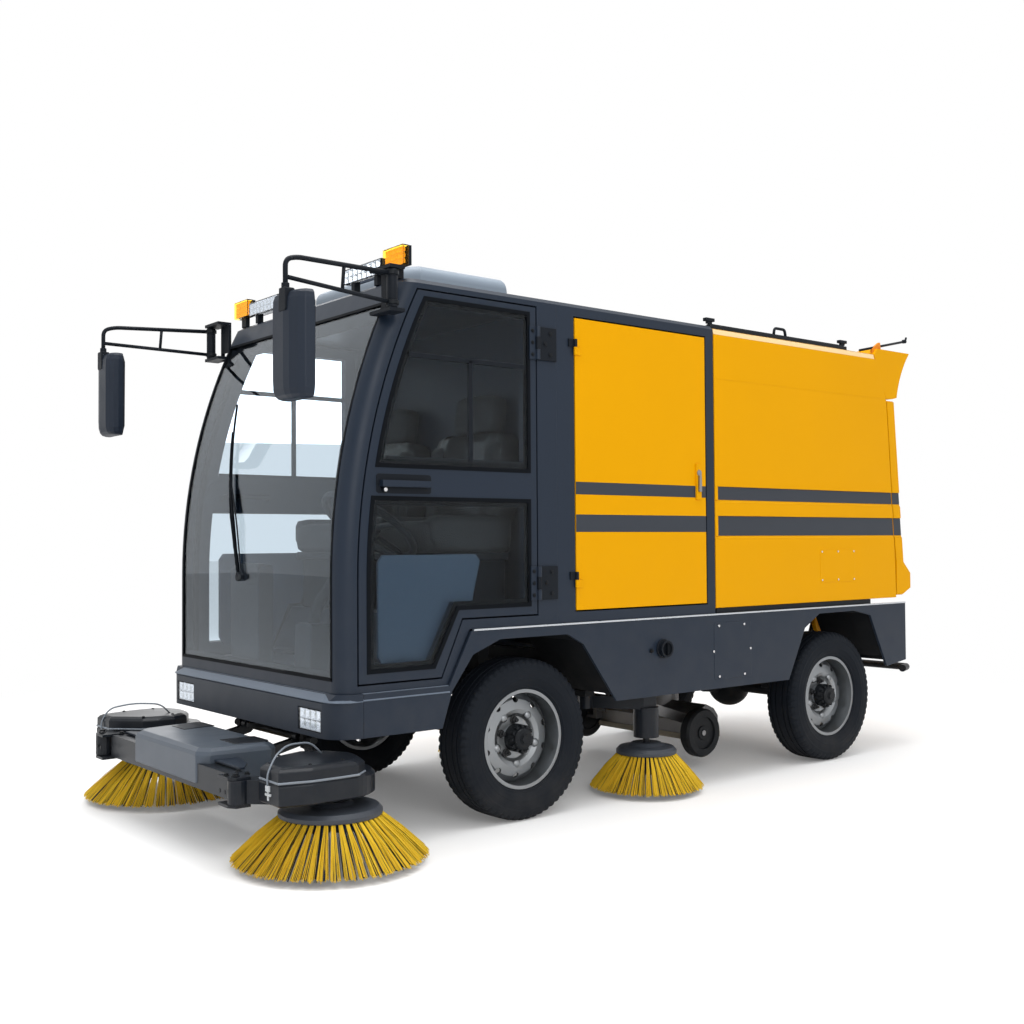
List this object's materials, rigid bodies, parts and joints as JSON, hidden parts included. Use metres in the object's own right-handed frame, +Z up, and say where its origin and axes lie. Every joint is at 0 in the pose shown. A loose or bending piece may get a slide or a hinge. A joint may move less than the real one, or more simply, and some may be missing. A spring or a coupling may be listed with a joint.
{
  "type": "street sweeper truck",
  "caption": "Small electric street sweeper truck with a glazed cab, front and side brushes, suction mouth and tipping hopper.",
  "frame": {"origin": "centre of the bounding box on the ground", "axes": "+X forward, +Y the truck's left, +Z up"},
  "size_m": [3.7499, 1.954, 2.07],
  "materials": {
    "frame_black": "satin",
    "lift_steel": "satin",
    "bright_rod": "polished",
    "rim_silver": "metallic satin",
    "tyre": "matt",
    "slate_paint": "satin",
    "yellow_paint": "gloss",
    "liner_plastic": "matt",
    "tinted_glass": "clear tint",
    "lamp_lens": "clear",
    "beacon_amber": "clear amber",
    "tail_red": "clear red",
    "battery_case": "satin",
    "lid_black": "satin",
    "mirror_black": "grained",
    "seat_vinyl": "grained vinyl",
    "dash_plastic": "grained",
    "broom_black": "satin",
    "bristle_yellow": "fibrous",
    "nozzle_steel": "satin, worn",
    "skirt_rubber": "matt",
    "wheel_rubber": "matt",
    "wiper_black": "matt",
    "socket_black": "matt"
  },
  "bodies": {
    "chassis": {"chassis_rails": "frame_black", "cross_members": "frame_black", "frame_brackets": "frame_black", "front_axle": "frame_black", "rear_axle": "frame_black", "side_skirts": "slate_paint", "wheel_arch_liners": "liner_plastic", "front_bumper": "slate_paint", "headlamps": "lamp_lens", "cab_shell": "slate_paint", "windscreen": "tinted_glass", "hinge_posts": "frame_black", "equipment_bay": "slate_paint", "battery_pack": "battery_case", "roof_pod": "slate_paint", "roof_lamps": "beacon_amber", "mirror_brackets": "frame_black", "seats": "seat_vinyl", "dashboard": "dash_plastic", "suction_duct": "liner_plastic", "wiper": "wiper_black", "charging_socket": "socket_black", "tail_lamps": "tail_red"},
    "steer_left": {"knuckle_left": "frame_black"},
    "steer_right": {"knuckle_right": "frame_black"},
    "front_wheel_left": {"front_rim_left": "rim_silver", "front_tyre_left": "tyre"},
    "front_wheel_right": {"front_rim_right": "rim_silver", "front_tyre_right": "tyre"},
    "rear_wheel_left": {"rear_rim_left": "rim_silver", "rear_tyre_left": "tyre"},
    "rear_wheel_right": {"rear_rim_right": "rim_silver", "rear_tyre_right": "tyre"},
    "steering": {"steering_wheel": "dash_plastic"},
    "cab_door_l": {"cab_door_left": "slate_paint", "door_glass_left": "tinted_glass"},
    "cab_door_r": {"cab_door_right": "slate_paint", "door_glass_right": "tinted_glass"},
    "bay_door_l": {"bay_door_left": "yellow_paint"},
    "bay_door_r": {"bay_door_right": "yellow_paint"},
    "hopper": {"hopper_shell": "yellow_paint"},
    "tailgate": {"tailgate": "yellow_paint"},
    "lid": {"hopper_lid": "lid_black"},
    "lift_barrel": {"lift_barrels": "lift_steel"},
    "lift_rod": {"lift_rods": "bright_rod"},
    "broom": {"broom_frame": "broom_black"},
    "broom_arm_l": {"broom_arm_left": "broom_black"},
    "broom_arm_r": {"broom_arm_right": "broom_black"},
    "front_brush_l": {"front_brush_left": "bristle_yellow"},
    "front_brush_r": {"front_brush_right": "bristle_yellow"},
    "side_arm_l": {"side_arm_left": "broom_black"},
    "side_arm_r": {"side_arm_right": "broom_black"},
    "side_brush_l": {"side_brush_left": "bristle_yellow"},
    "side_brush_r": {"side_brush_right": "bristle_yellow"},
    "nozzle": {"suction_mouth": "nozzle_steel", "mouth_skirt": "skirt_rubber"},
    "nozzle_wheel_l": {"nozzle_wheel_left": "wheel_rubber"},
    "nozzle_wheel_r": {"nozzle_wheel_right": "wheel_rubber"},
    "mirror_l": {"mirror_left": "mirror_black"},
    "mirror_r": {"mirror_right": "mirror_black"}
  },
  "joints": [
    {"name": "steer_left", "type": "hinge", "parent": "chassis", "child": "steer_left", "pos_m": [0.71, 0.44, 0.298], "axis": [0, 0, 1], "range_deg": [-30, 30]},
    {"name": "front_wheel_left_spin", "type": "hinge", "parent": "steer_left", "child": "front_wheel_left", "pos_m": [0.71, 0.55, 0.298], "axis": [0, 1, 0], "continuous": true},
    {"name": "rear_wheel_left_spin", "type": "hinge", "parent": "chassis", "child": "rear_wheel_left", "pos_m": [-1.146, 0.55, 0.298], "axis": [0, 1, 0], "continuous": true},
    {"name": "steer_right", "type": "hinge", "parent": "chassis", "child": "steer_right", "pos_m": [0.71, -0.44, 0.298], "axis": [0, 0, 1], "range_deg": [-30, 30]},
    {"name": "front_wheel_right_spin", "type": "hinge", "parent": "steer_right", "child": "front_wheel_right", "pos_m": [0.71, -0.55, 0.298], "axis": [0, 1, 0], "continuous": true},
    {"name": "rear_wheel_right_spin", "type": "hinge", "parent": "chassis", "child": "rear_wheel_right", "pos_m": [-1.146, -0.55, 0.298], "axis": [0, 1, 0], "continuous": true},
    {"name": "steering_wheel_turn", "type": "hinge", "parent": "chassis", "child": "steering", "pos_m": [1.18, 0.3, 1.09], "axis": [-0.6, 0, 0.8], "range_deg": [-480, 480]},
    {"name": "cab_door_left_swing", "type": "hinge", "parent": "chassis", "child": "cab_door_l", "pos_m": [0.669, 0.66, 1.32], "axis": [0, 0, 1], "range_deg": [0, 78]},
    {"name": "bay_door_left_swing", "type": "hinge", "parent": "chassis", "child": "bay_door_l", "pos_m": [0.479, 0.658, 1.32], "axis": [0, 0, -1], "range_deg": [0, 95]},
    {"name": "mirror_left_fold", "type": "hinge", "parent": "chassis", "child": "mirror_l", "pos_m": [1.34, 0.7, 1.88], "axis": [0, 0, 1], "range_deg": [0, 70]},
    {"name": "cab_door_right_swing", "type": "hinge", "parent": "chassis", "child": "cab_door_r", "pos_m": [0.669, -0.66, 1.32], "axis": [0, 0, -1], "range_deg": [0, 78]},
    {"name": "bay_door_right_swing", "type": "hinge", "parent": "chassis", "child": "bay_door_r", "pos_m": [0.479, -0.658, 1.32], "axis": [0, 0, 1], "range_deg": [0, 95]},
    {"name": "mirror_right_fold", "type": "hinge", "parent": "chassis", "child": "mirror_r", "pos_m": [1.34, -0.7, 1.88], "axis": [0, 0, -1], "range_deg": [0, 70]},
    {"name": "hopper_tilt", "type": "hinge", "parent": "chassis", "child": "hopper", "pos_m": [-1.5, 0, 0.6], "axis": [0, -1, 0], "range_deg": [0, 45]},
    {"name": "tailgate_swing", "type": "hinge", "parent": "hopper", "child": "tailgate", "pos_m": [-1.664, 0, 1.708], "axis": [0, 1, 0], "range_deg": [0, 80]},
    {"name": "lid_swing", "type": "hinge", "parent": "hopper", "child": "lid", "pos_m": [-0.8, -0.628, 1.941], "axis": [1, 0, 0], "range_deg": [0, 60]},
    {"name": "lift_barrel_swing", "type": "hinge", "parent": "chassis", "child": "lift_barrel", "pos_m": [-1.25, 0, 0.43], "axis": [0, -1, 0], "range_deg": [0, 45.67]},
    {"name": "lift_rod_slide", "type": "slide", "parent": "lift_barrel", "child": "lift_rod", "axis": [0.8557, 0, 0.5174], "range_m": [0, 0.2313]},
    {"name": "broom_lift", "type": "hinge", "parent": "chassis", "child": "broom", "pos_m": [1.413, 0, 0.33], "axis": [0, 1, 0], "range_deg": [0, 3.5]},
    {"name": "broom_arm_left_swing", "type": "hinge", "parent": "broom", "child": "broom_arm_l", "pos_m": [1.847, 0.574, 0.25], "axis": [0, 0, -1], "range_deg": [-10, 25]},
    {"name": "front_brush_left_spin", "type": "hinge", "parent": "broom_arm_l", "child": "front_brush_l", "pos_m": [1.555, 0.657, 0.18], "axis": [0, 0, 1], "continuous": true},
    {"name": "side_arm_left_swing", "type": "hinge", "parent": "chassis", "child": "side_arm_l", "pos_m": [0.19, 0.38, 0.38], "axis": [0, 0, -1], "range_deg": [0, 20]},
    {"name": "side_brush_left_spin", "type": "hinge", "parent": "side_arm_l", "child": "side_brush_l", "pos_m": [-0.003, 0.54, 0.18], "axis": [0, 0, 1], "continuous": true},
    {"name": "nozzle_wheel_left_spin", "type": "hinge", "parent": "nozzle", "child": "nozzle_wheel_l", "pos_m": [-0.506, 0.38, 0.167], "axis": [0, 1, 0], "continuous": true},
    {"name": "broom_arm_right_swing", "type": "hinge", "parent": "broom", "child": "broom_arm_r", "pos_m": [1.847, -0.574, 0.25], "axis": [0, 0, 1], "range_deg": [-10, 25]},
    {"name": "front_brush_right_spin", "type": "hinge", "parent": "broom_arm_r", "child": "front_brush_r", "pos_m": [1.555, -0.657, 0.18], "axis": [0, 0, -1], "continuous": true},
    {"name": "side_arm_right_swing", "type": "hinge", "parent": "chassis", "child": "side_arm_r", "pos_m": [0.19, -0.38, 0.38], "axis": [0, 0, 1], "range_deg": [0, 20]},
    {"name": "side_brush_right_spin", "type": "hinge", "parent": "side_arm_r", "child": "side_brush_r", "pos_m": [-0.003, -0.54, 0.18], "axis": [0, 0, -1], "continuous": true},
    {"name": "nozzle_wheel_right_spin", "type": "hinge", "parent": "nozzle", "child": "nozzle_wheel_r", "pos_m": [-0.506, -0.38, 0.167], "axis": [0, 1, 0], "continuous": true},
    {"name": "nozzle_lift", "type": "hinge", "parent": "chassis", "child": "nozzle", "pos_m": [-0.15, 0, 0.33], "axis": [0, -1, 0], "range_deg": [0, 9]}
  ],
  "couplings": [
    {"joint": "steer_right", "follows": "steer_left", "ratio": 1},
    {"joint": "steering_wheel_turn", "follows": "steer_left", "ratio": 16},
    {"joint": "lift_barrel_swing", "follows": "hopper_tilt", "ratio": 1.0149},
    {"joint": "lift_rod_slide", "follows": "hopper_tilt", "m_per_rad": 0.29447}
  ]
}
